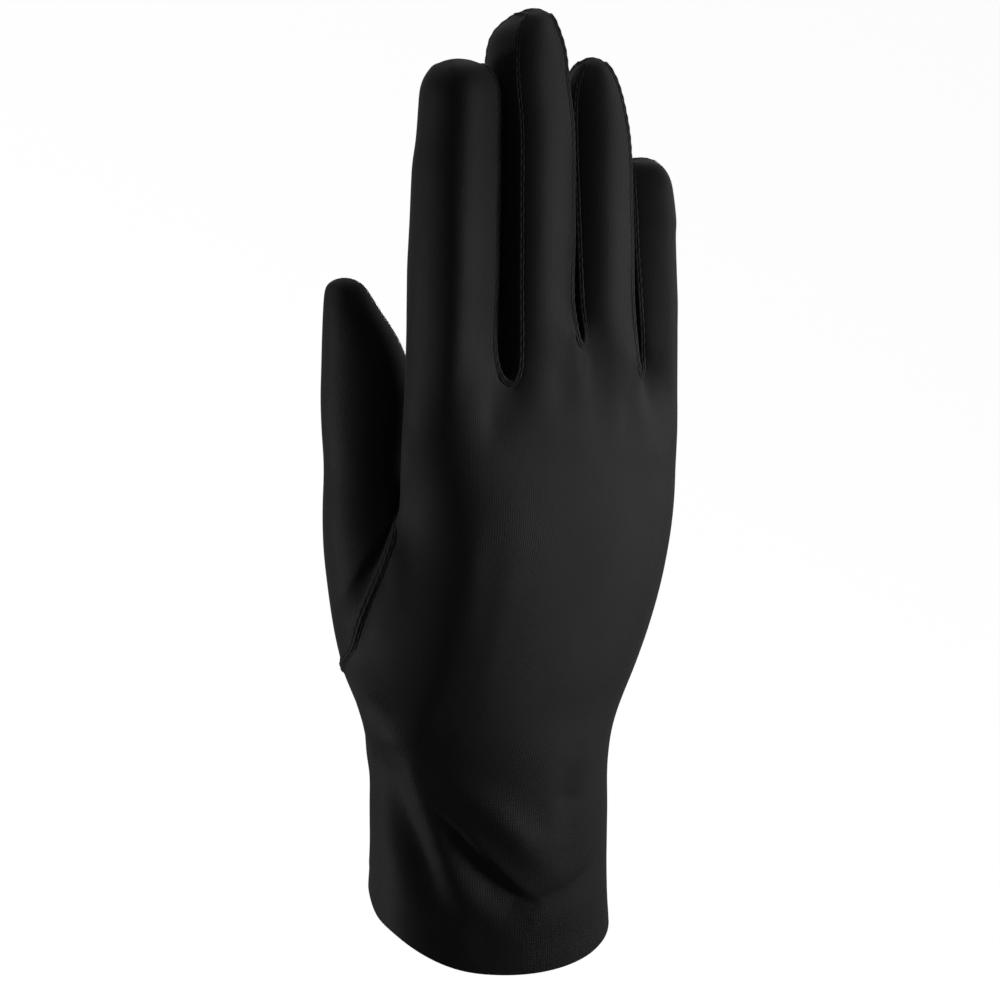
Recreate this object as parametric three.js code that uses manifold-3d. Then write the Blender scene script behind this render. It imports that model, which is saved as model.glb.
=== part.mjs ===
import * as THREE from 'three';
import { mergeVertices } from 'three/addons/utils/BufferGeometryUtils.js';
import Module from 'manifold-3d';

const wasm = await Module();
wasm.setup();

// A wrist length dress glove for the right hand, in the form it has when worn. Lengths are in millimetres.
// The fingers point up +Z, the back of the hand faces -Y, the palm +Y, and the thumb is on the -X side.
// The origin is the centre of the wrist opening.

// Cloth and seams
const clothThickness = 1;
const hemThickness = 1.5;
const hemHeight = 7.5;
const hemFlare = 0.5;
const seamGap = 0.3;

// Wrist and hand
const wristWidth = 61;
const wristDepth = 43;
const cuffHeight = 40;
const hemFrontDrop = 10;
const hemLittleSideDrop = 1.6;
const handBreadth = 74.5;
const handThickness = 31;
const handHeight = 130;
const handLean = 14;
const webRise = 8;

// Fingers: length above the webs, width, depth, and the place of the centre line at the root and at the tip
const fingers = {
  index: { length: 73, width: 20.4, depth: 19.2, rootX: -12.4, rootY: -3.2, tipX: -10.4, tipY: -3 },
  middle: { length: 85, width: 19.6, depth: 19, rootX: 8.6, rootY: -3.6, tipX: 11, tipY: -2.4 },
  ring: { length: 74, width: 17.8, depth: 17.4, rootX: 28.4, rootY: -1.2, tipX: 29.8, tipY: 3.2 },
  little: { length: 50.5, width: 15.8, depth: 15.6, rootX: 45.2, rootY: 4.2, tipX: 46, tipY: 7 },
};

// Thumb
const thumbHeight = 152;
const thumbWidth = 21;
const thumbDepth = 20;
const thumbX = -23;
const thumbY = 18.4;
const thumbSeamX = -25.5;
const thumbCrotchHeight = 95;
const thumbSeamMargin = 3;

// Strips between the fingers
const stripWidth = 14;
const stripTipWidth = 8;
const stripTipDistance = 6;
const stripDrop = 5;

// Facets
const handSides = 36;
const fingerSides = 14;

// Level sections of the hand from the hem up. Heights are shares of the cuff height below the wrist and of the
// rest of the hand height above it. Widths and depths are shares of the wrist's below it and of the hand's
// above it. Lean is a share of the hand's lean to the little finger side. Turn is in degrees.
const cuffSections = [
  { height: 0, width: 1, depth: 1 },
  { height: 0.12, width: 1, depth: 1 },
  { height: 0.24, width: 0.995, depth: 1 },
  { height: 0.36, width: 0.995, depth: 0.99 },
  { height: 0.48, width: 1, depth: 0.98 },
  { height: 0.6, width: 1, depth: 0.98 },
  { height: 0.72, width: 1, depth: 0.97 },
  { height: 0.84, width: 1, depth: 0.96 },
];
const handSections = [
  { height: 0, width: 0.83, depth: 1.31, lean: 0.01, turn: 0, squareness: 2, crown: 0 },
  { height: 0.06, width: 0.87, depth: 1.28, lean: 0.03, turn: 0, squareness: 2, crown: 0 },
  { height: 0.13, width: 0.925, depth: 1.24, lean: 0.1, turn: 1, squareness: 2.05, crown: 0 },
  { height: 0.2, width: 0.965, depth: 1.2, lean: 0.24, turn: 2, squareness: 2.1, crown: 0 },
  { height: 0.28, width: 0.985, depth: 1.14, lean: 0.42, turn: 3, squareness: 2.15, crown: 0 },
  { height: 0.36, width: 0.995, depth: 1.08, lean: 0.6, turn: 4, squareness: 2.2, crown: 0 },
  { height: 0.45, width: 1, depth: 1.02, lean: 0.77, turn: 5, squareness: 2.25, crown: 0 },
  { height: 0.56, width: 1.005, depth: 0.96, lean: 0.9, turn: 6, squareness: 2.3, crown: 0 },
  { height: 0.68, width: 1.01, depth: 0.9, lean: 0.99, turn: 7, squareness: 2.35, crown: 0 },
  { height: 0.8, width: 1.01, depth: 0.83, lean: 1.07, turn: 7, squareness: 2.4, crown: 0.2 },
  { height: 0.9, width: 1.005, depth: 0.74, lean: 1.13, turn: 7, squareness: 2.4, crown: 0.6 },
  { height: 0.97, width: 0.985, depth: 0.6, lean: 1.18, turn: 7, squareness: 2.4, crown: 0.9 },
  { height: 1, width: 0.95, depth: 0.42, lean: 1.2, turn: 7, squareness: 2.4, crown: 1 },
];

// Sections of a finger: height above the webs as a share of its length, width and depth as shares of its own
const fingerShaft = [
  { height: -0.4, width: 0.72, depth: 0.86 },
  { height: -0.04, width: 0.97, depth: 1 },
  { height: 0.16, width: 0.98, depth: 1 },
  { height: 0.34, width: 1, depth: 1.02 },
  { height: 0.5, width: 0.99, depth: 0.98 },
  { height: 0.64, width: 0.98, depth: 0.96 },
];

// Sections of a fingertip: distance below its end as a share of the width, width and depth as shares
const fingerEnd = [
  { below: 0.92, width: 0.98, depth: 0.93 },
  { below: 0.52, width: 0.92, depth: 0.87 },
  { below: 0.3, width: 0.82, depth: 0.78 },
  { below: 0.14, width: 0.66, depth: 0.62 },
  { below: 0.04, width: 0.42, depth: 0.4 },
  { below: 0, width: 0.2, depth: 0.2 },
];

// Sections of the thumb: height as a share of its tip's height, place of the centre line as shares of the
// thumb's own place, width and depth as shares of its own. Margin is the share of the seam margin by which the
// thumb's side of its seam reaches past the thumb.
const thumbSections = [
  { height: 0.3, x: 0.5, y: 0.12, width: 1.1, depth: 1.2, margin: 1 },
  { height: 0.36, x: 0.7, y: 0.28, width: 1.42, depth: 1.45, margin: 1 },
  { height: 0.42, x: 0.8, y: 0.42, width: 1.52, depth: 1.54, margin: 1 },
  { height: 0.49, x: 0.86, y: 0.56, width: 1.48, depth: 1.48, margin: 1 },
  { height: 0.57, x: 0.93, y: 0.74, width: 1.32, depth: 1.32, margin: 0.8 },
  { height: 0.65, x: 0.98, y: 0.9, width: 1.1, depth: 1.12, margin: 0.4 },
  { height: 0.73, x: 1, y: 1, width: 0.98, depth: 1, margin: 0.15 },
  { height: 0.8, x: 1.01, y: 1.01, width: 1, depth: 1, margin: 0.15 },
  { height: 0.86, x: 1.02, y: 1.01, width: 1, depth: 0.96, margin: 0.15 },
  { height: 0.905, x: 1.06, y: 1, width: 0.9, depth: 0.88, margin: 0.15 },
  { height: 0.94, x: 1.12, y: 0.98, width: 0.76, depth: 0.76, margin: 0.15 },
  { height: 0.97, x: 1.18, y: 0.97, width: 0.58, depth: 0.6, margin: 0.15 },
  { height: 0.99, x: 1.22, y: 0.96, width: 0.36, depth: 0.38, margin: 0.15 },
  { height: 1, x: 1.24, y: 0.96, width: 0.16, depth: 0.16, margin: 0.15 },
];

// Folds of the cuff on the back of the hand, each a line from its upper to its lower end. Across is a share of
// half the wrist's width as seen from the front corner, height a share of the cuff's, depth a share of the
// cloth's fold depth and reach half the fold's width as a share of the cuff's height.
const foldDepth = 1.6;
const folds = [
  { fromAcross: -0.86, fromHeight: 1.02, toAcross: -0.18, toHeight: 0.1, depth: 1, reach: 0.11 },
  { fromAcross: -0.42, fromHeight: 0.72, toAcross: 0.34, toHeight: 0.12, depth: 1, reach: 0.08 },
  { fromAcross: 0.34, fromHeight: 0.12, toAcross: 1, toHeight: 0.36, depth: 0.6, reach: 0.1 },
  { fromAcross: 0.76, fromHeight: 0.9, toAcross: 0.66, toHeight: 0.5, depth: 0.4, reach: 0.1 },
];
const viewCorner = THREE.MathUtils.degToRad(-30);

function foldOffset(x, y, z) {
  const facing = Math.sin(viewCorner) * x - Math.cos(viewCorner) * y;
  if (facing < 0) return 0;
  const reachSize = cuffHeight;
  const across = Math.cos(viewCorner) * x + Math.sin(viewCorner) * y;
  const point = new THREE.Vector3(across, z, 0);
  const nearest = new THREE.Vector3();
  let offset = 0;
  for (const fold of folds) {
    const upper = new THREE.Vector3((fold.fromAcross * wristWidth) / 2, fold.fromHeight * cuffHeight, 0);
    const lower = new THREE.Vector3((fold.toAcross * wristWidth) / 2, fold.toHeight * cuffHeight, 0);
    new THREE.Line3(upper, lower).closestPointToPoint(point, true, nearest);
    const distance = nearest.distanceTo(point) / (fold.reach * reachSize);
    offset -= fold.depth * foldDepth * Math.exp(-distance * distance);
  }
  return offset * Math.min(1, (2 * facing) / (wristDepth / 2));
}

// A closed tube through level sections, each with its height z, its centre x and y, half width a, half depth b,
// turn and squareness. The inside of a wall is the same tube with each half size less the wall. Crown lifts a
// row where the web between the middle and the ring finger is.
function tube(sections, sides, wall = 0, offset = () => 0) {
  const last = sections.length - 1;
  const profile = sections.map((section, row) => new THREE.Vector2(1, row));
  profile.unshift(new THREE.Vector2(0, 0));
  profile.push(new THREE.Vector2(0, last));
  const geometry = new THREE.LatheGeometry(profile, sides);
  const place = geometry.attributes.position;
  for (let i = 0; i < place.count; i += 1) {
    const section = sections[Math.round(place.getY(i))];
    const along = place.getZ(i);
    const across = place.getX(i);
    const power = 2 / (section.squareness ?? 2);
    const turn = THREE.MathUtils.degToRad(section.turn ?? 0);
    const unitX = Math.sign(along) * Math.abs(along) ** power;
    const unitY = Math.sign(across) * Math.abs(across) ** power;
    const fold = offset(section.x + section.a * unitX, section.y + section.b * unitY, section.z);
    const x = Math.max(section.a - wall + fold, 0.1) * unitX;
    const y = Math.max(section.b - wall + fold, 0.1) * unitY;
    const atX = section.x + x * Math.cos(turn) - y * Math.sin(turn);
    const atY = section.y + x * Math.sin(turn) + y * Math.cos(turn);
    const lift = webRise * (section.crown ?? 0) * webShare(atX);
    place.setXYZ(i, atX, atY, section.z + lift - (section.capped ? wall : 0));
  }
  return solidFrom(geometry);
}

function solidFrom(geometry) {
  const bare = geometry.clone();
  bare.deleteAttribute('normal');
  bare.deleteAttribute('uv');
  const merged = mergeVertices(bare, 0.0001);
  const vertProperties = new Float32Array(merged.attributes.position.array);
  const triVerts = new Uint32Array(merged.index.array);
  return new wasm.Manifold(new wasm.Mesh({ numProp: 3, vertProperties, triVerts }));
}

// How far a place across the hand takes part in the rise of the web between the middle and the ring finger
function webShare(x) {
  const { middle, ring } = fingers;
  const gap = (middle.rootX + ring.rootX) / 2;
  const away = (x - gap) / (ring.rootX - middle.rootX);
  return Math.exp(-2 * away * away);
}

function handTable() {
  const rows = [];
  for (const row of cuffSections) {
    const a = (row.width * wristWidth) / 2;
    const b = (row.depth * wristDepth) / 2;
    rows.push({ z: row.height * cuffHeight, x: 0, y: 0, a, b });
  }
  for (const row of handSections) {
    rows.push({
      z: cuffHeight + row.height * (handHeight - cuffHeight),
      x: row.lean * handLean,
      y: 0,
      a: (row.width * handBreadth) / 2,
      b: (row.depth * handThickness) / 2,
      turn: row.turn,
      squareness: row.squareness,
      crown: row.crown,
      capped: row.height === 1,
    });
  }
  return rows;
}

function fingerTable(finger) {
  const tipZ = handHeight + finger.length;
  const rows = [];
  for (const row of fingerShaft) {
    rows.push({ z: handHeight + row.height * finger.length, width: row.width, depth: row.depth });
  }
  for (const row of fingerEnd) {
    rows.push({ z: tipZ - row.below * finger.width, width: row.width, depth: row.depth, capped: true });
  }
  return rows.map((row) => {
    const share = (row.z - handHeight) / finger.length;
    return {
      z: row.z,
      x: THREE.MathUtils.lerp(finger.rootX, finger.tipX, share),
      y: THREE.MathUtils.lerp(finger.rootY, finger.tipY, share),
      a: (row.width * finger.width) / 2,
      b: (row.depth * finger.depth) / 2,
      squareness: 2.6,
      capped: row.capped,
    };
  });
}

function thumbTable(margin = 0) {
  return thumbSections.map((row) => ({
    z: row.height * thumbHeight,
    x: row.x * thumbX,
    y: row.y * thumbY,
    a: (row.width * thumbWidth) / 2 + row.margin * margin,
    b: (row.depth * thumbDepth) / 2 + row.margin * margin,
    capped: row.height > 0.9,
  }));
}

function box(width, depth, height, x, y, z) {
  const geometry = new THREE.BoxGeometry(width, depth, height);
  geometry.translate(x, y, z);
  return solidFrom(geometry);
}

// Everything on the palm side of a line through the fingers' centres, moved towards the back by an offset
function palmSide(offset) {
  const far = handBreadth * 2;
  const { index, middle, ring, little } = fingers;
  const shape = new THREE.Shape();
  shape.moveTo(-far, index.rootY + index.depth / 2 - offset);
  shape.lineTo(index.rootX - index.width / 2 - wristDepth / 8, index.rootY + index.depth / 2 - offset);
  shape.lineTo(index.rootX - index.width / 4, index.rootY - offset);
  shape.lineTo(middle.rootX, middle.rootY - offset);
  shape.lineTo(ring.rootX, ring.rootY - offset);
  shape.lineTo(little.rootX, little.rootY - offset);
  shape.lineTo(far, little.rootY - offset);
  shape.lineTo(far, far);
  shape.lineTo(-far, far);
  const height = 3 * handHeight;
  const geometry = new THREE.ExtrudeGeometry(shape, { depth: height, bevelEnabled: false });
  geometry.translate(0, 0, -handHeight);
  return solidFrom(geometry);
}

// One strip's half on a finger: a tapered flag across the finger's side, from its centre line to the gap. It leans
// with the finger, and across the hand with both of its fingers.
function stripHalf(finger, x, towards, acrossLean, extra) {
  const low = handHeight - stripDrop - extra;
  const high = handHeight + finger.length - stripTipDistance + extra;
  const shape = new THREE.Shape();
  shape.moveTo(-stripWidth / 2 - extra, low);
  shape.lineTo(stripWidth / 2 + extra, low);
  shape.lineTo(stripTipWidth / 2 + extra, high);
  shape.lineTo(-stripTipWidth / 2 - extra, high);
  const geometry = new THREE.ExtrudeGeometry(shape, { depth: towards - x, bevelEnabled: false });
  const lean = (finger.tipY - finger.rootY) / finger.length;
  const footX = x - acrossLean * handHeight;
  const footY = finger.rootY - lean * handHeight;
  const upright = new THREE.Matrix4().set(0, acrossLean, 1, footX, 1, lean, 0, footY, 0, 1, 0, 0, 0, 0, 0, 1);
  geometry.applyMatrix4(upright);
  return solidFrom(geometry);
}

function strip(left, right, extra) {
  const middleX = (left.rootX + left.width / 2 + right.rootX - right.width / 2) / 2;
  const leftLean = (left.tipX - left.rootX) / left.length;
  const rightLean = (right.tipX - right.rootX) / right.length;
  const lean = (leftLean + rightLean) / 2;
  const overlap = seamGap / 4;
  const leftHalf = stripHalf(left, left.rootX, middleX + overlap, lean, extra);
  const rightHalf = stripHalf(right, middleX - overlap, right.rootX, lean, extra);
  return leftHalf.add(rightHalf);
}

// The thumb's side of its seam: a sleeve around the thumb, cut off by a slanted plane from the crotch down
function thumbSide(extra) {
  const sleeve = tube(thumbTable(thumbSeamMargin + extra), fingerSides);
  const crotch = new THREE.Vector3(thumbSeamX, 0, thumbCrotchHeight);
  const normal = new THREE.Vector3(-0.81, 0.47, 0.34).normalize();
  const size = 4 * handHeight;
  const block = new THREE.BoxGeometry(size, size, size);
  block.translate(0, 0, size / 2 - extra);
  const turn = new THREE.Quaternion().setFromUnitVectors(new THREE.Vector3(0, 0, 1), normal);
  block.applyQuaternion(turn);
  block.translate(crotch.x, crotch.y, crotch.z);
  return sleeve.intersect(solidFrom(block));
}

// The hem is lower on the back of the hand, and a little lower on the little finger side
function slantHem(geometry) {
  const place = geometry.attributes.position;
  for (let i = 0; i < place.count; i += 1) {
    const fade = THREE.MathUtils.clamp((cuffHeight - place.getZ(i)) / (cuffHeight - hemHeight), 0, 1);
    const front = (hemFrontDrop * place.getY(i)) / (wristDepth / 2);
    const side = (hemLittleSideDrop * place.getX(i)) / (wristWidth / 2);
    place.setZ(i, place.getZ(i) + fade * (front - side));
  }
}

const handOutside = tube(handTable(), handSides, 0, foldOffset);
const handInside = tube(handTable(), handSides, clothThickness, foldOffset);
let outside = handOutside.add(tube(thumbTable(), fingerSides));
let inside = handInside.add(tube(thumbTable(), fingerSides, clothThickness));
for (const finger of Object.values(fingers)) {
  outside = outside.add(tube(fingerTable(finger), fingerSides));
  inside = inside.add(tube(fingerTable(finger), fingerSides, clothThickness));
}

const wide = 4 * handBreadth;
const throat = tube(
  [
    { z: -hemHeight, x: 0, y: 0, a: wristWidth / 2 - clothThickness, b: wristDepth / 2 - clothThickness },
    { z: hemHeight, x: 0, y: 0, a: wristWidth / 2 - clothThickness, b: wristDepth / 2 - clothThickness },
  ],
  handSides,
);
let shell = outside.subtract(inside).subtract(throat);
shell = shell.intersect(box(wide, wide, wide, 0, 0, wide / 2 + hemHeight + seamGap));

const pieces = {};
pieces.thumb = shell.intersect(thumbSide(0));
let rest = shell.subtract(thumbSide(seamGap));
const pairs = [
  ['fourchette_index_middle', fingers.index, fingers.middle],
  ['fourchette_middle_ring', fingers.middle, fingers.ring],
  ['fourchette_ring_little', fingers.ring, fingers.little],
];
for (const [name, left, right] of pairs) {
  pieces[name] = rest.intersect(strip(left, right, 0));
  rest = rest.subtract(strip(left, right, seamGap));
}
pieces.palm_panel = rest.intersect(palmSide(0));
pieces.back_panel = rest.subtract(palmSide(seamGap));

const hemRows = [
  { z: 0, x: 0, y: 0, a: wristWidth / 2 + hemFlare, b: wristDepth / 2 + hemFlare },
  { z: hemHeight / 2, x: 0, y: 0, a: wristWidth / 2 + hemFlare / 2, b: wristDepth / 2 + hemFlare / 2 },
  { z: hemHeight, x: 0, y: 0, a: wristWidth / 2, b: wristDepth / 2 },
];
const hemHole = [
  { ...hemRows[0], z: -1 },
  ...hemRows.slice(1, 2),
  { ...hemRows[2], z: hemHeight + 1 },
];
pieces.wrist_hem = tube(hemRows, handSides).subtract(tube(hemHole, handSides, hemThickness));

const glove = new THREE.Group();
const cloth = new THREE.MeshStandardMaterial({ color: 0x121214, roughness: 0.62, metalness: 0 });
for (const [name, solid] of Object.entries(pieces)) {
  const mesh = solid.getMesh();
  const geometry = new THREE.BufferGeometry();
  geometry.setAttribute('position', new THREE.BufferAttribute(mesh.vertProperties, mesh.numProp));
  geometry.setIndex(new THREE.BufferAttribute(mesh.triVerts, 1));
  slantHem(geometry);
  geometry.computeVertexNormals();
  const piece = new THREE.Mesh(geometry, cloth.clone());
  piece.name = name;
  glove.add(piece);
}

export default glove;
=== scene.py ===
import math
import bpy
import bmesh
import numpy as np
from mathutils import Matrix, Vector, noise
from mathutils.kdtree import KDTree


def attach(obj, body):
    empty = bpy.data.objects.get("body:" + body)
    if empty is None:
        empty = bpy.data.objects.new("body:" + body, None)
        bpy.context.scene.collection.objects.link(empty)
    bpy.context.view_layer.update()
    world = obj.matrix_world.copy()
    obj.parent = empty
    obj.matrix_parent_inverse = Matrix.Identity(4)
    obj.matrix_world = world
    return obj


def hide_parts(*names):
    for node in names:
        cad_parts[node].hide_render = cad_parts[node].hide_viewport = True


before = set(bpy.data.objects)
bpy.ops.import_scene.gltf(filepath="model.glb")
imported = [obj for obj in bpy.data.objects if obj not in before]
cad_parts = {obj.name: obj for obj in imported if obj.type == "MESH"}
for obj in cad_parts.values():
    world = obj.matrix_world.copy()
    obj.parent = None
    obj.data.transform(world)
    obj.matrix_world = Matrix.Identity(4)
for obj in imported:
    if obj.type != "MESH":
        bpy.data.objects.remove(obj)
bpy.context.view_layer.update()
mm = 0.001

# The glove is seen from the thumb side of its back, a little from above. Angles are in degrees, the lens
# in mm and the rest in metres.
view = {
    "azimuth": -30.0,
    "elevation": 6.0,
    "distance": 0.75,
    "lens": 113.2,
    "middle": (0.00386, 0.00182, 0.09928),
}


def addObject(name, data):
    made = bpy.data.objects.new(name, data)
    bpy.context.scene.collection.objects.link(made)
    return made


def makeCamera():
    a, e = math.radians(view["azimuth"]), math.radians(view["elevation"])
    toViewer = Vector((math.sin(a) * math.cos(e), -math.cos(a) * math.cos(e), math.sin(e)))
    data = bpy.data.cameras.new("photoCamera")
    data.lens = view["lens"]
    camera = addObject("photoCamera", data)
    camera.location = Vector(view["middle"]) + toViewer * view["distance"]
    camera.rotation_euler = toViewer.to_track_quat("Z", "Y").to_euler()
    bpy.context.scene.camera = camera
    print("camera", view["distance"], "m away")


makeCamera()

# Level directions of this view, to its right and away from it.
seenRight, seenAway = Vector((0.866, -0.5, 0)), Vector((0.5, 0.866, 0))


def seenPlace(across, deep, height):
    return seenRight * across + seenAway * deep + Vector((0, 0, height))


# Pieces by the number that a face of the skin carries.
pieceNames = ["backPanel", "palmPanel", "indexMiddleStrip", "middleRingStrip", "ringLittleStrip",
              "thumbPiece", "hemBand"]
back, palm, indexMiddle, middleRing, ringLittle, thumb, hem = range(7)
strips = (indexMiddle, middleRing, ringLittle)

# The glove below the fingers, in mm. A row has its height, centre x, half width, half depth, turn in
# degrees, squareness, and how far its columns have moved from even spacing to the fingers' places.
handForm = {
    "columns": 26,
    "rows": [
        (0.0, 0.0, 30.9, 21.9, 0, 2.0, 0.0),
        (3.7, 0.0, 30.7, 21.7, 0, 2.0, 0.0),
        (7.5, 0.0, 30.5, 21.5, 0, 2.0, 0.0),
        (14, 0.0, 30.4, 21.4, 0, 2.0, 0.0),
        (21, 0.0, 30.5, 21.1, 0, 2.0, 0.0),
        (28, 0.0, 30.5, 20.9, 0, 2.0, 0.05),
        (35, 0.0, 30.6, 20.6, 0, 2.0, 0.1),
        (42, 0.0, 31.8, 20.2, 0, 2.0, 0.2),
        (49.5, 0.5, 34.3, 19.4, 1, 2.05, 0.3),
        (58, 3.4, 35.9, 18.6, 2, 2.1, 0.4),
        (76, 9.8, 37.2, 16.3, 4.5, 2.4, 0.6),
        (95, 13.7, 38.2, 14.4, 6.5, 2.65, 0.85),
        (105, 13.6, 39.5, 13.5, 7, 2.7, 0.95),
        (115, 14.3, 39.5, 12.6, 6, 2.6, 1.0),
    ],
    "outermost": 0.96,  # share of the half width that a moved column keeps to
    "anchors": ((6, 0), (19, 0)),  # columns that the reach along the cloth is measured from
    "thumbRows": (9, 10, 11),  # rows round the thumb's opening
    "hemHeight": 7.5,
    "webDrop": 1.2,  # from the web's edges down to its middle
}

# The slant of the wrist opening, in mm, which fades out up the cuff.
hemSlant = {
    "frontDrop": 10.0,
    "rearRise": 11.0,
    "sideDrop": -0.1,
    "thumbRise": 3.0,
    "width": 61.0,
    "depth": 43.0,
    "fadesAt": 40.0,
}

# Fingers in mm: root and tip of the centre line, tip height, heights of the webs beside it, width and
# depth. In shares: how far out the root's corners stand, how far across the seams lie (left root, left
# tip, right root, right tip), and how full each ring of the end is, with how far aside it sits in mm.
fingerForm = {
    "index": {
        "root": (-12.9, -3.1), "tip": (-10.2, -3.1), "top": 203.0, "webs": (124.5, 130.5),
        "width": 20.4, "depth": 19.2, "lip": 0.86, "seams": (0.6, 0.72, 0.93, 0.97),
        "end": ((0.93, 0.2), (0.91, 0.35), (0.84, 0.3), (0.58, 0.3)),
    },
    "middle": {
        "root": (8.6, -3.6), "tip": (10.2, -2.0), "top": 215.0, "webs": (130.5, 138.5),
        "width": 19.6, "depth": 19.0, "lip": 0.86, "seams": (0.73, 0.73, 0.93, 0.97),
        "end": ((0.97, -1.0), (0.92, -1.2), (0.74, -1.1), (0.42, 0.4)),
    },
    "ring": {
        "root": (28.4, -1.2), "tip": (29.8, 3.2), "top": 204.0, "webs": (138.5, 130),
        "width": 17.8, "depth": 17.4, "lip": 0.86, "seams": (0.82, 0.95, 0.93, 0.97),
        "end": ((0.93, -0.1), (0.80, -0.3), (0.61, -0.1), (0.36, 0.2)),
    },
    "little": {
        "root": (46.0, 4.0), "tip": (46.7, 6.8), "top": 180.2, "webs": (130, 122.5),
        "width": 16.2, "depth": 15.6, "lip": 0.8, "seams": (0.62, 0.85, 0.6, 0.7),
        "end": ((0.98, 0.2), (0.93, 0), (0.82, -0.2), (0.58, -0.4)),
    },
}

# What the fingers have in common.
fingerShape = {
    # along the finger, width, depth
    "rings": [(0.16, 0.98, 1.0), (0.34, 1.0, 1.02), (0.5, 0.99, 0.98), (0.66, 0.98, 0.96)],
    "endRings": (0.92, 0.52, 0.25, 0.08),  # below the tip, as shares of the width
    "endDepth": 0.96,  # how deep the end is beside its width
    "rootWidth": 0.99,
    "rootLevel": 130.0,  # height in mm where the centre line starts
    "squareness": 2.6,
    "palmSeam": 0.66,  # how far across the left seam lies on the palm side
}

# The thumb in mm, each place as across the view, away from it and height. A ring adds half length, half
# depth and tilt in degrees.
thumbForm = {
    "seam": [
        (-21.0, 0.5, 97.6), (-22.0, -8.8, 92.4), (-29.2, -10.8, 78.0), (-32.8, -7.4, 65.6),
        (-34.8, 0.5, 58.6), (-33.3, 8.6, 64.8), (-28.9, 12.2, 77.5), (-24.2, 8.8, 90.5),
    ],
    "rings": [
        (-29.6, 2.0, 85.2, 14.8, 12.0, 55),
        (-29.7, 3.2, 92.5, 12.6, 11.6, 38),
        (-29.6, 4.0, 101.5, 11.4, 10.8, 24),
        (-29.2, 4.4, 110.5, 10.8, 10.1, 13),
        (-29.1, 4.4, 121.0, 11.3, 10.0, 4),
        (-29.6, 4.2, 131.0, 10.6, 9.8, 0),
        (-30.9, 3.6, 138.5, 9.0, 8.8, 0),
        (-32.5, 3.0, 144.0, 7.1, 7.4, 0),
        (-33.6, 2.6, 148.0, 5.6, 5.8, 0),
        (-34.2, 2.4, 150.8, 4.0, 4.0, 0),
    ],
    "corners": (0, -45, -90, -135, 180, 135, 90, 45),  # degrees round a ring
    "anchors": ((5, 0),),
    "end": (-34.3, 2.4, 152.4),
}


def superY(u, power):
    return (1 - min(abs(u), 1) ** power) ** (1 / power)


def columnHome(column):
    # The finger above a column, its place across that finger (0 to 2) and its side: -1 is the back, 1 the
    # palm and 0 the glove's outer edges.
    half = handForm["columns"] // 2
    if column % half == 0:
        return (0 if column == 0 else len(fingerForm) - 1), 0, 0
    count = column - 1 if column < half else 2 * half - 1 - column
    return count // 3, count % 3, -1 if column < half else 1


def handColumns(row):
    z, cx, a, b, turn, power, gathered = row
    cosine, sine = math.cos(math.radians(turn)), math.sin(math.radians(turn))
    fingers = list(fingerForm.values())
    points = []
    for column in range(handForm["columns"]):
        u = math.cos(math.radians(180 + column * 360 / handForm["columns"]))
        number, third, side = columnHome(column)
        if side:
            finger = fingers[number]
            seam = finger["seams"][2 if third else 0]
            across = finger["root"][0] + (third - 1) * seam * finger["width"] / 2
            atFinger = max(-handForm["outermost"], min(handForm["outermost"], (across - cx) / a))
            u += (atFinger - u) * gathered
        x, y = a * u, side * b * superY(u, power)
        points.append(Vector((cx + x * cosine - y * sine, x * sine + y * cosine, z)))
    return points


def fingerPoint(finger, place, z, wide, deep, share):
    # place counts round the finger from its thumb side: 0 side, 1 to 3 back, 4 side, 5 to 7 palm
    x = finger["root"][0] + (finger["tip"][0] - finger["root"][0]) * share
    y = finger["root"][1] + (finger["tip"][1] - finger["root"][1]) * share
    along = max(0, min(1, share))
    leftRoot, leftTip, rightRoot, rightTip = finger["seams"]
    left, right = leftRoot + (leftTip - leftRoot) * along, rightRoot + (rightTip - rightRoot) * along
    u = (-1, -left, 0, right, 1, right, 0, -fingerShape["palmSeam"])[place]
    side = (0, -1, -1, -1, 0, 1, 1, 1)[place]
    return Vector((x + u * wide, y + side * deep * superY(u, fingerShape["squareness"]), z))


def fingerRoot(finger, place):
    left, right = finger["webs"]
    between = (left + right) / 2
    z = (left, left, between, right, right, right, between, left)[place]
    halfWidth, halfDepth = finger["width"] / 2 * fingerShape["rootWidth"], finger["depth"] / 2
    point = fingerPoint(finger, place, z, halfWidth, halfDepth, 0)
    if place in (1, 3):
        point.y = min(point.y, finger["root"][1] - finger["lip"] * halfDepth)
    if place in (5, 7):
        point.y = max(point.y, finger["root"][1] + finger["lip"] * halfDepth)
    return point


def thumbPoints(ring):
    across, deep, z, a, b, tilt = ring
    t = math.radians(tilt)
    upward = seenRight * math.cos(t) + Vector((0, 0, math.sin(t)))
    centre = seenPlace(across, deep, z)
    corners = [math.radians(corner) for corner in thumbForm["corners"]]
    return [centre + upward * a * math.cos(c) + seenAway * b * math.sin(c) for c in corners]


def ringSpans(points, numbers, anchors):
    # Each face of a ring gets its reach along the cloth, measured from the anchor of its own panel.
    count = len(points)
    spans = [None] * count
    for start, reach in anchors:
        k, u = start, reach
        while spans[k] is None and numbers[k] == numbers[start]:
            far = u + (points[(k + 1) % count] - points[k]).length
            spans[k] = (u, far)
            k, u = (k + 1) % count, far
        k, u = (start - 1) % count, reach
        while spans[k] is None and numbers[k] == numbers[start]:
            near = u - (points[(k + 1) % count] - points[k]).length
            spans[k] = (near, u)
            k, u = (k - 1) % count, near
    return spans


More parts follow.
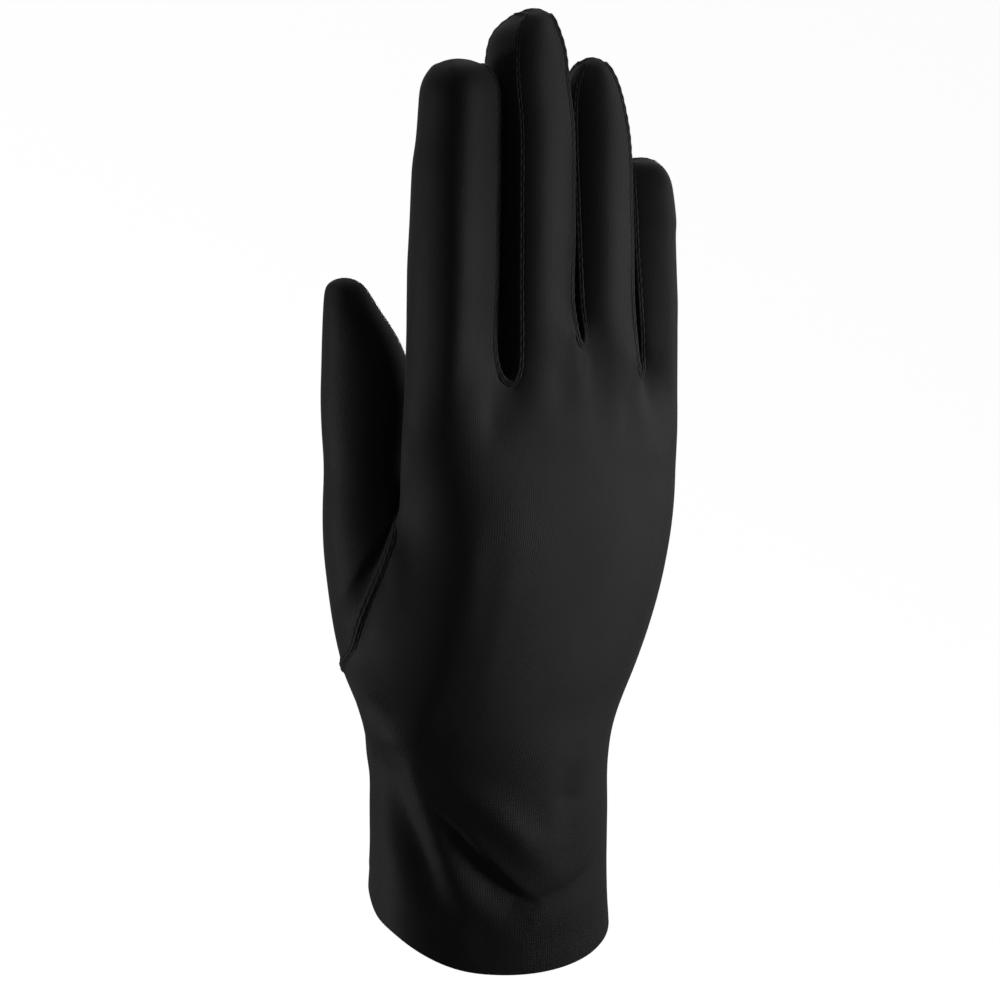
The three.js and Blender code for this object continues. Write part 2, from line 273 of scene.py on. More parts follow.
def extrudeRing(bm, ring, places, numbers, anchors):
    layer = bm.loops.layers.uv.verify()
    edges = [bm.edges.get((v, w)) for v, w in zip(ring, ring[1:] + ring[:1])]
    made = bmesh.ops.extrude_edge_only(bm, edges=edges)["geom"]
    fresh = {g for g in made if isinstance(g, bmesh.types.BMVert)}
    upper = [next(e.other_vert(v) for e in v.link_edges if e.other_vert(v) in fresh) for v in ring]
    for vert, place in zip(upper, places):
        vert.co = place
    below = ringSpans([v.co for v in ring], numbers, anchors)
    above = ringSpans(places, numbers, anchors)
    for i, number in enumerate(numbers):
        k = (i + 1) % len(ring)
        face = bm.faces.get((ring[i], ring[k], upper[k], upper[i]))
        face.material_index = number
        reach = {ring[i]: below[i][0], ring[k]: below[i][1], upper[k]: above[i][1], upper[i]: above[i][0]}
        for loop in face.loops:
            loop[layer].uv = (reach[loop.vert], loop.vert.co.z)
    return upper


def closeTip(bm, ring, place, numbers, reach):
    # Four faces close a ring of eight, and the knit runs 2 mm further over them.
    layer = bm.loops.layers.uv.verify()
    top = bmesh.ops.create_vert(bm, co=place)["vert"][0]
    for i, number in zip((0, 2, 4, 6), numbers):
        face = bm.faces.new((ring[i], ring[i + 1], ring[(i + 2) % 8], top))
        face.material_index = number
        for loop in face.loops:
            loop[layer].uv = (reach + loop.vert.co.x - place.x, loop.vert.co.z + (loop.vert is top) * 2)


def growHand(bm):
    # The glove rises row by row from the wrist, and the last ring has the corners of the fingers' roots.
    columns, anchors = handForm["columns"], handForm["anchors"]
    half = columns // 2
    first, *rows = handForm["rows"]
    ring = bmesh.ops.create_circle(bm, cap_ends=False, segments=columns, radius=1)["verts"]
    for vert, place in zip(ring, handColumns(first)):
        vert.co = place
    panels = [back] * half + [palm] * (half - 1) + [back]
    rings = [ring]
    for row in rows:
        numbers = [hem] * columns if row[0] <= handForm["hemHeight"] else panels
        rings.append(extrudeRing(bm, rings[-1], handColumns(row), numbers, anchors))
    fingers = list(fingerForm.values())
    roots = []
    for column in range(columns):
        number, third, side = columnHome(column)
        if side:
            place = 1 + third if side < 0 else 7 - third
        else:
            place = 0 if number == 0 else 4
        roots.append(fingerRoot(fingers[number], place))
    top = extrudeRing(bm, rings[-1], roots, panels, anchors)
    return rings, top, ringSpans([v.co for v in top], panels, anchors)


def closeWebs(bm, top):
    # Two faces close each gap between fingers. The corners at the fingers' sides are handed back.
    layer = bm.loops.layers.uv.verify()
    fingers = list(fingerForm.values())
    sides = [top[0]]
    for gap, number in enumerate(strips):
        near, far = 3 + 3 * gap, 4 + 3 * gap
        pair = [bm.edges.get((top[near], top[far])), bm.edges.get((top[-near], top[-far]))]
        web = bmesh.ops.bridge_loops(bm, edges=pair)["faces"][0]
        crossing = bm.edges.get((top[near], top[-near])), bm.edges.get((top[far], top[-far]))
        nearMid = bmesh.utils.edge_split(crossing[0], top[near], 0.5)[1]
        farMid = bmesh.utils.edge_split(crossing[1], top[far], 0.5)[1]
        other = bmesh.utils.face_split(web, nearMid, farMid)[0]
        web.material_index = other.material_index = number
        nearMid.co, farMid.co = fingerRoot(fingers[gap], 4), fingerRoot(fingers[gap + 1], 0)
        nearMid.co.z = farMid.co.z = fingers[gap]["webs"][1] - handForm["webDrop"]
        for loop in [*web.loops, *other.loops]:
            loop[layer].uv = (loop.vert.co.y, loop.vert.co.x)
        sides += [nearMid, farMid]
    return sides + [top[handForm["columns"] // 2]]


def growFinger(bm, number, top, sides, reach):
    finger = list(fingerForm.values())[number]
    first = 1 + 3 * number
    ring = [sides[2 * number], top[first], top[first + 1], top[first + 2],
            sides[2 * number + 1], top[-first - 2], top[-first - 1], top[-first]]
    left, right = ((back, *strips, back)[number + k] for k in (0, 1))
    rightPalm = palm if number == len(fingerForm) - 1 else right
    numbers = [left, back, back, right, rightPalm, palm, palm, left]
    rootZ, topZ, width = sum(finger["webs"]) / 2, finger["top"], finger["width"]
    anchors = ((2, reach[first + 1][0]), (6, reach[-first - 1][0]), (0, 0), (4, 0))
    levels = [(rootZ + s * (topZ - rootZ), wide, deep, 0) for s, wide, deep in fingerShape["rings"]]
    for s, (full, aside) in zip(fingerShape["endRings"], finger["end"]):
        levels.append((topZ - s * width, full, full * fingerShape["endDepth"], aside))
    for z, wide, deep, aside in levels:
        share = (z - fingerShape["rootLevel"]) / (topZ - fingerShape["rootLevel"])
        halves = wide * width / 2, deep * finger["depth"] / 2
        places = [fingerPoint(finger, p, z, *halves, share) + aside * seenRight for p in range(8)]
        ring = extrudeRing(bm, ring, places, numbers, anchors)
    summit = Vector((*finger["tip"], topZ)) + finger["end"][-1][1] * seenRight
    closeTip(bm, ring, summit, (back, back, palm, palm), anchors[0][1])


def growThumb(bm, rings):
    # The thumb grows from the opening that is left for it on the index side.
    low, mid, high = (rings[k] for k in handForm["thumbRows"])
    ring = [high[-1], high[0], mid[0], low[0], low[-1], low[-2], mid[-2], high[-2]]
    bmesh.ops.delete(bm, geom=[mid[-1]], context="VERTS")
    for vert, place in zip(ring, thumbForm["seam"]):
        vert.co = seenPlace(*place)
    for row in thumbForm["rings"]:
        ring = extrudeRing(bm, ring, thumbPoints(row), [thumb] * 8, thumbForm["anchors"])
    closeTip(bm, ring, seenPlace(*thumbForm["end"]), [thumb] * 4, 0)


def slantHem(bm):
    fadeLength = hemSlant["fadesAt"] - handForm["hemHeight"]
    for vert in bm.verts:
        fade = max(0, min(1, (hemSlant["fadesAt"] - vert.co.z) / fadeLength))
        toPalm = vert.co.y / hemSlant["depth"] * 2
        toThumb = -vert.co.x / hemSlant["width"] * 2
        slant = hemSlant["frontDrop"] * toPalm
        slant += hemSlant["rearRise"] * max(0, toPalm) * max(0, 1 - toPalm)
        slant += hemSlant["sideDrop"] * toThumb + hemSlant["thumbRise"] * max(0, 2 * toThumb - 1) ** 2
        vert.co.z += fade * slant


def makeCage():
    bm = bmesh.new()
    rings, top, reach = growHand(bm)
    sides = closeWebs(bm, top)
    for number in range(len(fingerForm)):
        growFinger(bm, number, top, sides, reach)
    growThumb(bm, rings)
    layer = bm.loops.layers.uv.verify()
    for face in bm.faces:
        for loop in face.loops:
            loop[layer].uv *= mm
    slantHem(bm)
    bmesh.ops.scale(bm, vec=(mm, mm, mm), verts=bm.verts)
    bmesh.ops.recalc_face_normals(bm, faces=bm.faces)
    mesh = bpy.data.meshes.new("gloveSkin")
    bm.to_mesh(mesh)
    bm.free()
    for name in pieceNames:
        mesh.materials.append(bpy.data.materials.new(name + "Mark"))
    return addObject("gloveSkin", mesh)


# How the cage is rounded: levels and rounds of the fitting, the share of the gap that a round makes up,
# and the levels that follow when the skin has been eased.
rounding = {"levels": 2, "rounds": 4, "share": 0.9, "lastLevels": 1}


def coordinates(mesh):
    flat = np.empty(len(mesh.vertices) * 3)
    mesh.vertices.foreach_get("co", flat)
    return flat.reshape(-1, 3)


def evaluated(piece):
    return piece.evaluated_get(bpy.context.evaluated_depsgraph_get())


def roundOff(piece, levels):
    modifier = piece.modifiers.new("rounding", "SUBSURF")
    modifier.levels = modifier.render_levels = levels


def bake(piece):
    # What the modifiers make becomes the piece's own mesh.
    piece.data = bpy.data.meshes.new_from_object(evaluated(piece))
    piece.modifiers.clear()


def fitCage(cage):
    # The subdivided surface shrinks, so the cage is pushed out until that surface has the wanted places.
    roundOff(cage, rounding["levels"])
    wanted = coordinates(cage.data)
    for step in range(rounding["rounds"]):
        gap = wanted - coordinates(evaluated(cage).data)[: len(wanted)]
        cage.data.vertices.foreach_set("co", (coordinates(cage.data) + gap * rounding["share"]).ravel())
        cage.data.update()
    print("cage", len(cage.data.polygons), "faces, last gap", round(float(abs(gap).max()) / mm, 2), "mm")
    bake(cage)


# Regions of the two panels that are eased after the first rounding. A pass is how often, from and to
# across, and from and to in height, in mm. frontFrom keeps to what faces the view, and sideUpTo leaves
# out what faces sideways.
easing = {
    "thumbSide": {
        "frontFrom": 0.25,
        "passes": [(14, -27, -1, 46, 112), (16, -24, -3, 50, 106), (16, -21, -5, 54, 100)],
    },
    "knuckles": {
        "sideUpTo": 0.8,
        "passes": [(5, -26, 40, 90, 131), (6, -25, 39, 93, 127), (6, -24, 38, 96, 122),
                   (4, -22, 36, 100, 117)],
    },
    "indexMiddleWeb": {"passes": [(4, -2, 10, 112, 130)]},
    "middleRingWeb": {"passes": [(12, 18, 29, 118, 140)]},
    "ringLittleWeb": {"passes": [(12, 31, 42, 112, 131)]},
}
towardsView = Vector((-0.5, -0.866, 0.1))


def easeSkin(piece):
    bm = bmesh.new()
    bm.from_mesh(piece.data)
    for plan in easing.values():
        frontFrom, sideUpTo = plan.get("frontFrom", -2), plan.get("sideUpTo", 2)
        for times, nearest, furthest, lowest, highest in plan["passes"]:
            chosen = []
            for vert in bm.verts:
                across, z = vert.co.dot(seenRight) / mm, vert.co.z / mm
                if not (nearest < across < furthest and lowest < z < highest):
                    continue
                if vert.normal.dot(towardsView) <= frontFrom or abs(vert.normal.dot(seenRight)) > sideUpTo:
                    continue
                if all(face.material_index in (back, palm) for face in vert.link_faces):
                    chosen.append(vert)
            for step in range(times):
                bmesh.ops.smooth_vert(bm, verts=chosen, factor=0.5, use_axis_x=True, use_axis_y=True,
                                      use_axis_z=True)
    bm.to_mesh(piece.data)
    bm.free()


# Folds as the view shows them: places (across, up) in mm, the height at each (negative is a hollow), and
# the half widths to the left and to the right of the way that the fold runs.
folds = {
    "thumbSideValley": (
        [(-29.6, 51.0), (-27.4, 43.6), (-23.8, 35.4), (-20.0, 25.8), (-16.3, 17.0), (-13.4, 8.6),
         (-9.8, 1.5)],
        (0, -1.1, -2.0, -2.3, -2.2, -1.5, -0.6), (3.6, 5.0)),
    "thumbSideRidge": (
        [(-24.6, 46.1), (-19.4, 35.0), (-14.6, 24.5), (-9.5, 14.6), (-4.7, 3.9)],
        (0.0, 0.4, 0.6, 0.5, 0.1), (3.8, 3.2)),
    "slantCrease": (
        [(-15.4, 29.2), (-9.6, 23.4), (-7.4, 21.0), (-2.6, 15.7), (2.2, 10.7), (6.8, 6.6), (12.2, 3.6)],
        (0, -0.9, -1.9, -2.3, -2.3, -1.6, 0), (1.1, 6.5)),
    "slantRidge": ([(-11.9, 35.0), (1.0, 25.5), (7.5, 18.8), (13.5, 12.1)], (0.2, 1.1, 1.2, 0.3), (4.6, 3.4)),
    "lowRidge": ([(-9.3, 13.1), (-3.0, 5.6), (3.3, -1.5)], (0, 0.3, 0), (3.0, 3.0)),
    "softCurve": (
        [(9.0, 5.6), (15.6, 6.4), (21.8, 9.7), (28.3, 14.4), (33.0, 18.5)],
        (0, -0.4, -0.5, -0.5, 0), (1.2, 4.4)),
    "littleSideDent": ([(20.8, 38.3), (19.2, 29.0), (17.8, 17.5)], (-0.2, -1.0, -0.2), (3.2, 3.2)),
    "indexSideEdge": (
        [(-21.4, 104.0), (-21.9, 94.0), (-22.4, 86.0), (-22.0, 76.0)],
        (0.2, 0.7, 0.7, 0.1), (2.8, 2.8)),
    "thumbSideHollow": ([(-27.0, 84.0), (-28.6, 76.0), (-29.2, 68.0)], (-0.2, -0.4, -0.2), (2.2, 2.2)),
    "hemDent": ([(-2.4, -1.4), (-0.4, -6.4)], (-0.5, -0.3), (4.0, 4.0)),
    "belowIndexMiddleWeb": ([(2.0, 127.2), (1.3, 119.5), (0.9, 110.0)], (-0.4, -0.9, 0), (4.4, 2.8)),
    "belowMiddleRingWeb": ([(18.5, 135.6), (17.4, 128.5), (16.6, 116.0)], (-0.5, -1.1, 0), (4.0, 3.0)),
    "belowRingLittleWeb": ([(34.9, 128.0), (34.0, 121.5), (33.2, 110.0)], (-0.4, -0.9, 0), (3.8, 2.8)),
}
# The side away from the view has softer folds of its own.
farFolds = {
    "heelCrease": ([(-20, 12), (-10, 20), (2, 24), (14, 22)], (-0.3, -1.3, -1.3, -0.2), (2.2, 3.6)),
    "heelRidge": ([(-18, 17), (-8, 25), (4, 29), (14, 27)], (0.2, 0.8, 0.7, 0.1), (3.2, 3.2)),
    "wristCrease": ([(24, 40), (14, 36), (2, 37), (-10, 41)], (-0.2, -1.0, -1.0, -0.2), (3.4, 2.0)),
    "sideValley": ([(27, 10), (20, 20), (15, 32)], (-0.5, -1.1, -0.2), (3.4, 3.4)),
    "thumbBaseCrease": ([(-22, 70), (-12, 62), (-6, 52)], (-0.1, -0.8, -0.1), (2.6, 3.4)),
}
# How the folds and the cloth's unevenness are laid on the skin, in mm.
dressing = {
    "middle": Vector((8, 0, 104)),  # where up in the folds' list equals the real height
    "seenUp": Vector((0.052, 0.0905, 0.9945)),
    "toCamera": Vector((-0.497, -0.861, 0.1045)),
    "foldsEnd": 138,
    "rim": 2.5,  # how fast a fold grows from the outline inwards
    "foldReach": 3,  # half widths after which a fold has ended
    "uneven": ((0.16, 22.0), (0.05, 7.0)),  # waves and ripples: height and length
    "seamRise": 0.32,
    "seamReach": 1.9,
    "finerCuff": 42,  # the skin is finer below this height, and round the thumb's root
    "finerRootAcross": (-36, -16),
    "finerRootHeight": (54, 100),
    "finerDepth": 4,
}


def foldPush(across, up, fold):
    places, depths, widths = fold
    best, push, reach = 1e9, 0.0, 1.0
    for (x0, y0), (x1, y1), d0, d1 in zip(places, places[1:], depths, depths[1:]):
        dx, dy = x1 - x0, y1 - y0
        t = max(0, min(1, ((across - x0) * dx + (up - y0) * dy) / (dx * dx + dy * dy)))
        gap = math.hypot(across - x0 - dx * t, up - y0 - dy * t)
        if gap < best:
            best, push = gap, d0 + (d1 - d0) * t
            reach = widths[dx * (up - y0) < dy * (across - x0)]
    return push * math.exp(-((best / reach) ** 2)) if best < reach * dressing["foldReach"] else 0.0


def refineSkin(bm):
    fine = []
    left, right = dressing["finerRootAcross"]
    low, high = dressing["finerRootHeight"]
    for edge in bm.edges:
        mid = (edge.verts[0].co + edge.verts[1].co) / (2 * mm)
        inCuff = mid.z < dressing["finerCuff"]
        inRoot = left < mid.dot(seenRight) < right and low < mid.z < high
        if (inCuff or inRoot) and mid.dot(seenAway) < dressing["finerDepth"]:
            fine.append(edge)
    bmesh.ops.subdivide_edges(bm, edges=fine, cuts=1, use_grid_fill=True, smooth=0.5)


def seamTree(bm):
    # The places of the seams, apart from the hem's.
    seams = []
    for vert in bm.verts:
        numbers = {face.material_index for face in vert.link_faces}
        if len(numbers) > 1 and hem not in numbers:
            seams.append(vert)
    tree = KDTree(len(seams))
    for i, vert in enumerate(seams):
        tree.insert(vert.co, i)
    tree.balance()
    return tree


def dressSkin(piece):
    bm = bmesh.new()
    bm.from_mesh(piece.data)
    refineSkin(bm)
    tree = seamTree(bm)
    moves = []
    for vert in bm.verts:
        place = vert.co / mm
        up = dressing["middle"].z + (place - dressing["middle"]).dot(dressing["seenUp"])
        across, facing = place.dot(seenRight), vert.normal.dot(dressing["toCamera"])
        push = 0.0
        if up < dressing["foldsEnd"]:
            for fold in (folds if facing > 0 else farFolds).values():
                push += foldPush(across, up, fold) * min(1, abs(facing) * dressing["rim"])
        for size, reach in dressing["uneven"]:
            push += size * noise.noise(place / reach)
        near = tree.find(vert.co)[2] / mm
        push += dressing["seamRise"] * math.exp(-((near / dressing["seamReach"]) ** 2))
        moves.append(vert.normal * push * mm)
    for vert, move in zip(bm.verts, moves):
        vert.co += move
    bm.to_mesh(piece.data)
    bm.free()


# Cloth pieces: wall in mm, the CAD node that each stands for and the slot of its finish.
pieces = {
    "backPanel": {"wall": 0.9, "node": "back_panel", "slot": "glove_cloth"},
    "palmPanel": {"wall": 0.9, "node": "palm_panel", "slot": "glove_cloth"},
    "indexMiddleStrip": {"wall": 0.9, "node": "fourchette_index_middle", "slot": "glove_cloth"},
    "middleRingStrip": {"wall": 0.9, "node": "fourchette_middle_ring", "slot": "glove_cloth"},
    "ringLittleStrip": {"wall": 0.9, "node": "fourchette_ring_little", "slot": "glove_cloth"},
    "thumbPiece": {"wall": 0.9, "node": "thumb", "slot": "glove_cloth"},
    "hemBand": {"wall": 1.6, "node": "wrist_hem", "slot": "hem_cloth"},
}
# How many walls an inner corner may run, the angle in radians that stays a crease, and how alike a face
# and the skin must point to be shaded with it.
cutting = {"cornerReach": 1.4, "crease": 0.9, "alike": 0.4}


def shadeAsSkin(mesh):
    # The outer face is shaded as one skin, so that panels cut from it meet without a line.
    held = [Vector(value.vector) for value in mesh.attributes["wholeNormal"].data]
    shown = []
    for polygon in mesh.polygons:
        for corner in polygon.loop_indices:
            normal = held[mesh.loops[corner].vertex_index]
            shown.append(normal if polygon.normal.dot(normal) > cutting["alike"] else (0, 0, 0))
    mesh.attributes.remove(mesh.attributes["wholeNormal"])
    mesh.normals_split_custom_set(shown)


def cutPiece(skin, name, plan, material):
    bm = bmesh.new()
    bm.from_mesh(skin.data)
    whole = bm.verts.layers.float_vector.new("wholeNormal")
    home = bm.verts.layers.float_vector.new("home")
    for vert in bm.verts:
        vert[whole], vert[home] = vert.normal, vert.co
    others = [f for f in bm.faces if f.material_index != pieceNames.index(name)]
    bmesh.ops.delete(bm, geom=others, context="FACES")
    for face in bm.faces:
        face.material_index = 0
    wall = plan["wall"] * mm
    bmesh.ops.solidify(bm, geom=bm.faces[:], thickness=wall)
    for vert in bm.verts:
        if (vert.co - vert[home]).length > wall * cutting["cornerReach"]:
            vert.co = vert[home] - vert[whole] * wall
    bm.verts.layers.float_vector.remove(home)
    for edge in bm.edges:
        edge.smooth = len(edge.link_faces) != 2 or edge.calc_face_angle(0) < cutting["crease"]
    for face in bm.faces:
        face.smooth = True
    mesh = bpy.data.meshes.new(name)
    bm.to_mesh(mesh)
    bm.free()
    mesh.materials.append(material)
    mesh.uv_layers[0].name = "clothReach"
    shadeAsSkin(mesh)
    piece = addObject(name, mesh)
    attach(piece, "root")
    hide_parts(plan["node"])
    print(name, len(mesh.polygons), "faces")
    return piece


cloth = {
    "colour": (0.0075, 0.0075, 0.008),
    "worn": (0.011, 0.0108, 0.0112),
    "sockets": {"Roughness": 0.58, "Specular IOR Level": 0.22,
                "Sheen Weight": 0.22, "Sheen Roughness": 0.45},
    "wale": 0.00062,  # metres between knit columns
    "course": 0.0005,  # metres between knit rows
    "lean": 1.3,  # how far a stitch's legs slant
    "columnShare": 0.7,
    "rowShare": 0.3,
    "bump": 0.00004,
    "bumpStrength": 0.9,
    "fuzz": {"scale": 1400, "detail": 2, "height": 0.6, "tone": 0.6},
    "patches": {"scale": 45, "detail": 3, "tone": 0.6, "roughness": 0.1},
}
rolledSeam = {"fuzzScale": 1600, "fuzzDetail": 2, "bumpStrength": 0.5}


def startCloth(name):
    material = bpy.data.materials.new(name)
    material.use_nodes = True
    nodes, links = material.node_tree.nodes, material.node_tree.links
    shader = nodes["Principled BSDF"]
    for socket, value in cloth["sockets"].items():
        shader.inputs[socket].default_value = value
    return material, nodes, links, shader


def noiseField(nodes, links, scale, detail):
    place = nodes.new("ShaderNodeTexCoord")
    field = nodes.new("ShaderNodeTexNoise")
    field.inputs["Scale"].default_value = scale
    field.inputs["Detail"].default_value = detail
    links.new(place.outputs["Object"], field.inputs["Vector"])
    return field.outputs["Fac"]


def addBump(nodes, links, shader, height, strength):
    bump = nodes.new("ShaderNodeBump")
    bump.inputs["Strength"].default_value = strength
    bump.inputs["Distance"].default_value = cloth["bump"]
    links.new(height, bump.inputs["Height"])
    links.new(bump.outputs["Normal"], shader.inputs["Normal"])


def addTone(nodes, links, shader, share):
    mix = nodes.new("ShaderNodeMix")
    mix.data_type = "RGBA"
    mix.inputs["A"].default_value = (*cloth["colour"], 1)
    mix.inputs["B"].default_value = (*cloth["worn"], 1)
    links.new(share, mix.inputs["Factor"])
    links.new(mix.outputs["Result"], shader.inputs["Base Color"])


def clothMaterial(name):
    material, nodes, links, shader = startCloth(name)

    def calc(kind, first, second=None):
        node = nodes.new("ShaderNodeMath")
        node.operation = kind
        for socket, value in zip(node.inputs, (first, second)):
            if isinstance(value, (int, float)):
                socket.default_value = value
            elif value is not None:
                links.new(value, socket)
        return node.outputs[0]

    uv = nodes.new("ShaderNodeUVMap")
    uv.uv_map = "clothReach"
    split = nodes.new("ShaderNodeSeparateXYZ")
    links.new(uv.outputs["UV"], split.inputs[0])
    across = calc("DIVIDE", split.outputs["X"], cloth["wale"])
    along = calc("DIVIDE", split.outputs["Y"], cloth["course"])
    lean = calc("ABSOLUTE", calc("SUBTRACT", calc("FRACT", across), 0.5))
    columns = calc("ABSOLUTE", calc("SINE", calc("MULTIPLY", across, math.pi)))
    turns = calc("MULTIPLY", calc("ADD", along, calc("MULTIPLY", lean, cloth["lean"])), 2 * math.pi)
    rows = calc("MULTIPLY", calc("SINE", turns), cloth["rowShare"])
    knit = calc("ADD", calc("MULTIPLY", columns, cloth["columnShare"]), rows)
    fuzz, patches = cloth["fuzz"], cloth["patches"]
    fine = noiseField(nodes, links, fuzz["scale"], fuzz["detail"])
    broad = noiseField(nodes, links, patches["scale"], patches["detail"])
    height = calc("ADD", knit, calc("MULTIPLY", fine, fuzz["height"]))
    addBump(nodes, links, shader, height, cloth["bumpStrength"])
    tone = calc("ADD", calc("MULTIPLY", broad, patches["tone"]), calc("MULTIPLY", fine, fuzz["tone"]))
    addTone(nodes, links, shader, tone)
    smoothest = cloth["sockets"]["Roughness"] - patches["roughness"] / 2
    roughness = calc("ADD", smoothest, calc("MULTIPLY", broad, patches["roughness"]))
    links.new(roughness, shader.inputs["Roughness"])
    return material


def seamMaterial():
    material, nodes, links, shader = startCloth("rolledSeam")
    fine = noiseField(nodes, links, rolledSeam["fuzzScale"], rolledSeam["fuzzDetail"])
    addTone(nodes, links, shader, fine)
    addBump(nodes, links, shader, fine, rolledSeam["bumpStrength"])
    return material


# Rolled seams: the pieces that meet, each roll's place (sideways, lift) and radius in mm, the length of
# one pucker in mm and its depth as a share of the radius. beyond leaves out a seam whose mean x is less.
seamRolls = {
    "fingerSeams": {
        "pairs": [(strip, panel) for strip in strips for panel in (back, palm)],
        "lines": [(-0.6, -0.34, 0.5), (0, -0.14, 0.64), (0.6, -0.34, 0.5)],
        "pucker": 2.4,
        "depth": 0.05,
    },
    "sideSeams": {
        "pairs": [(back, palm)],
        "beyond": 0.0,
        "lines": [(-0.32, -0.14, 0.4), (0.32, -0.14, 0.4)],
        "pucker": 2.4,
        "depth": 0.06,
    },
    "thumbSeam": {
        "pairs": [(thumb, back), (thumb, palm)],
        "lines": [(-1.1, -0.42, 0.58), (-0.45, -0.3, 0.78), (0.45, -0.3, 0.78), (1.1, -0.42, 0.58)],
        "pucker": 2.6,
        "depth": 0.05,
    },
}
# What all rolls share: metres between their points, fewest corners of a seam, rounds of easing, how high
# in mm a pucker lifts, and how much later it comes on a roll further aside.
rolling = {"spacing": 0.0006, "fewest": 6, "easings": 4, "lift": 0.03, "lag": 3}


def seamChains(bm, first, second):
    wanted = {first, second}
    inner = [e for e in bm.edges if len(e.link_faces) == 2]
    edges = {e for e in inner if {f.material_index for f in e.link_faces} == wanted}
    links = {}
    for edge in edges:
        for vert in edge.verts:
            links.setdefault(vert, []).append(edge)
    chains = []
    while edges:
        ends = [v for v in links if len([e for e in links[v] if e in edges]) == 1]
        vert = min(ends or [v for v in links if any(e in edges for e in links[v])], key=lambda v: v.index)
        chain = [vert]
        while True:
            edge = next((e for e in links[vert] if e in edges), None)
            if edge is None:
                break
            edges.discard(edge)
            vert = edge.other_vert(vert)
            chain.append(vert)
        chains.append([(v.co.copy(), v.normal.copy()) for v in chain])
    return chains


def finerPath(chain):
    # Even points along a chain of (place, normal), eased a little: length, place, normal and sideways.
    places, normals = (np.array([link[k] for link in chain]) for k in (0, 1))
    for step in range(rolling["easings"]):
        for row in (places, normals):
            row[1:-1] = row[1:-1] * 0.5 + (row[:-2] + row[2:]) * 0.25
    length = np.r_[0, np.cumsum(np.linalg.norm(np.diff(places, axis=0), axis=1))]
    along = np.arange(0, length[-1], rolling["spacing"])
    p, n = (np.stack([np.interp(along, length, row[:, k]) for k in range(3)], 1)
            for row in (places, normals))
    n /= np.linalg.norm(n, axis=1)[:, None]
    t = np.gradient(p, axis=0)
    t /= np.linalg.norm(t, axis=1)[:, None]
    return along, p, n, np.cross(n, t)


def makeRolls(name, plan, bm, material):
    curve = bpy.data.curves.new(name, "CURVE")
    curve.dimensions = "3D"
    curve.bevel_depth = 1.0
    curve.bevel_resolution = 1
    curve.use_fill_caps = True
    for first, second in plan["pairs"]:
        for chain in seamChains(bm, first, second):
            meanX = sum(place.x for place, normal in chain) / len(chain)
            if len(chain) < rolling["fewest"] or meanX < plan.get("beyond", -1):
                continue
            along, p, n, s = finerPath(chain)
            for aside, lift, radius in plan["lines"]:
                spline = curve.splines.new("POLY")
                spline.points.add(len(p) - 1)
                wave = np.sin(along / (plan["pucker"] * mm) * 2 * math.pi + aside * rolling["lag"])
                places = p + s * aside * mm + n * (lift + rolling["lift"] * wave[:, None]) * mm
                spline.points.foreach_set("co", np.c_[places, np.ones(len(p))].ravel())
                spline.points.foreach_set("radius", radius * mm * (1 + plan["depth"] * wave))
    holder = addObject(name, curve)
    mesh = bpy.data.meshes.new_from_object(evaluated(holder))
    bpy.data.objects.remove(holder)
    for polygon in mesh.polygons:
        polygon.use_smooth = True
    mesh.materials.clear()
    mesh.materials.append(material)
    piece = addObject(name, mesh)
    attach(piece, "root")
    print(name, len(mesh.polygons), "faces")
    return piece


cage = makeCage()
fitCage(cage)
easeSkin(cage)
roundOff(cage, rounding["lastLevels"])
bake(cage)
dressSkin(cage)
print("skin", len(cage.data.polygons), "faces")

finishes = {"glove_cloth": clothMaterial("gloveCloth"), "hem_cloth": clothMaterial("hemCloth")}
rolledCloth = seamMaterial()
skinMesh = bmesh.new()
skinMesh.from_mesh(cage.data)
skinMesh.verts.ensure_lookup_table()
for name, plan in seamRolls.items():
    makeRolls(name, plan, skinMesh, rolledCloth)
skinMesh.free()
for name, plan in pieces.items():
    cutPiece(cage, name, plan, finishes[plan["slot"]])
bpy.data.objects.remove(cage)

# The pale paper and room, in metres, and the lights, in watts and degrees.
studio = {
    "floorHeight": -0.34,
    "floorReach": 2.2,
    "wallHeight": 3,
    "bend": 1.2,
    "bendSteps": 24,
    "paper": {"Base Color": (0.86, 0.86, 0.85, 1), "Roughness": 0.9, "Specular IOR Level": 0.1,
              "Emission Color": (1, 1, 1, 1), "Emission Strength": 0.9},
    "world": (0.98, 0.98, 0.985),
    "roomSeen": 0.98,
    "roomLight": 0.08,
    "lights": {
        "rightFront": {"place": (0.78, -0.54, 0.2), "aim": (0, 0, 0.088), "size": (0.4, 0.12),
                       "power": 0.126, "spread": 23},
        "rightRim": {"place": (0.78, 0.12, 0.35), "aim": (0, 0, 0.15), "size": (0.15, 0.6),
                     "power": 0.08, "spread": 70},
        "leftRim": {"place": (-0.72, 0.36, -0.08), "aim": (0, 0, 0.06), "size": (0.25, 0.4),
                    "power": 0.086, "spread": 26},
        "palmSide": {"place": (0.58, 0.86, 0.24), "aim": (0, 0, 0.1), "size": (0.3, 0.3),
                     "power": 0.15, "spread": 28},
        "above": {"place": (0.1, 0.6, 1.6), "aim": (0, 0, 0.1), "size": (1.8, 1.6),
                  "power": 3.6, "spread": 180},
    },
}


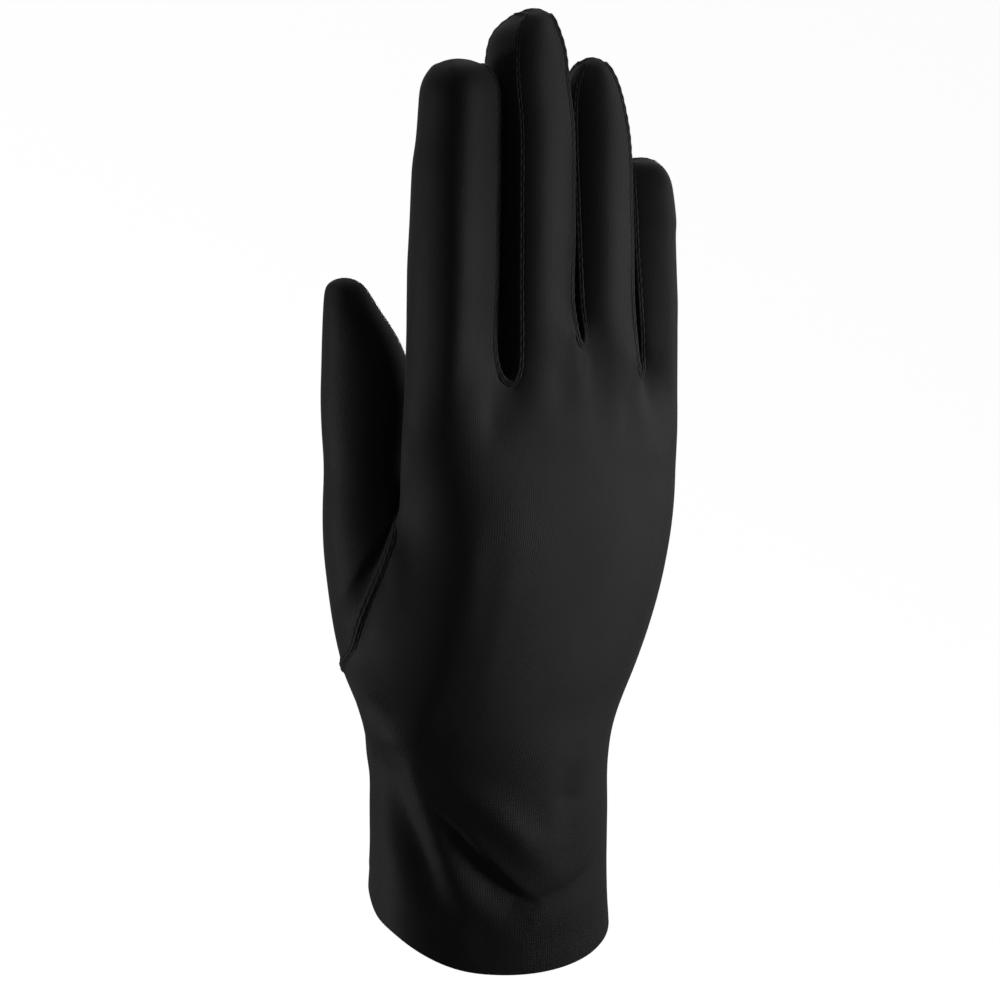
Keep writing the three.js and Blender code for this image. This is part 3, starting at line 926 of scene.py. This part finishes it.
def makePaper():
    # One sheet of paper runs under the glove and bends up behind it.
    bm = bmesh.new()
    bmesh.ops.create_grid(bm, x_segments=1, y_segments=1, size=studio["floorReach"])
    far = [e for e in bm.edges if all(v.co.y > 0 for v in e.verts)]
    raised = bmesh.ops.extrude_edge_only(bm, edges=far)["geom"]
    upper = [g for g in raised if isinstance(g, bmesh.types.BMVert)]
    bmesh.ops.translate(bm, vec=(0, 0, studio["wallHeight"]), verts=upper)
    bmesh.ops.bevel(bm, geom=far, offset=studio["bend"], segments=studio["bendSteps"], profile=0.5,
                    affect="EDGES", material=-1)
    bmesh.ops.translate(bm, vec=(0, 0, studio["floorHeight"]), verts=bm.verts)
    for face in bm.faces:
        face.smooth = True
    mesh = bpy.data.meshes.new("floorSweep")
    bm.to_mesh(mesh)
    bm.free()
    material = bpy.data.materials.new("palePaper")
    material.use_nodes = True
    for socket, value in studio["paper"].items():
        material.node_tree.nodes["Principled BSDF"].inputs[socket].default_value = value
    mesh.materials.append(material)
    floor = addObject("floorSweep", mesh)
    floor.visible_diffuse = floor.visible_glossy = False  # the paper doesn't light the black cloth


def makeRoom():
    world = bpy.data.worlds.new("paleRoom")
    world.use_nodes = True
    nodes, links = world.node_tree.nodes, world.node_tree.links
    nodes["Background"].inputs["Color"].default_value = (*studio["world"], 1)
    # The room is pale to look at, and lights the cloth less than it looks.
    seen = nodes.new("ShaderNodeLightPath")
    level = nodes.new("ShaderNodeMapRange")
    level.inputs["To Min"].default_value = studio["roomLight"]
    level.inputs["To Max"].default_value = studio["roomSeen"]
    links.new(seen.outputs["Is Camera Ray"], level.inputs["Value"])
    links.new(level.outputs["Result"], nodes["Background"].inputs["Strength"])
    bpy.context.scene.world = world


def makeLights():
    for name, plan in studio["lights"].items():
        data = bpy.data.lights.new(name, "AREA")
        data.shape = "RECTANGLE"
        data.size, data.size_y = plan["size"]
        data.energy = plan["power"]
        data.spread = math.radians(plan["spread"])
        light = addObject(name, data)
        light.location = plan["place"]
        away = Vector(plan["place"]) - Vector(plan["aim"])
        light.rotation_euler = away.to_track_quat("Z", "Y").to_euler()
    print("studio", len(studio["lights"]), "lights")


def makeStudio():
    bpy.context.scene.view_settings.view_transform = "Standard"
    makePaper()
    makeRoom()
    makeLights()


makeStudio()
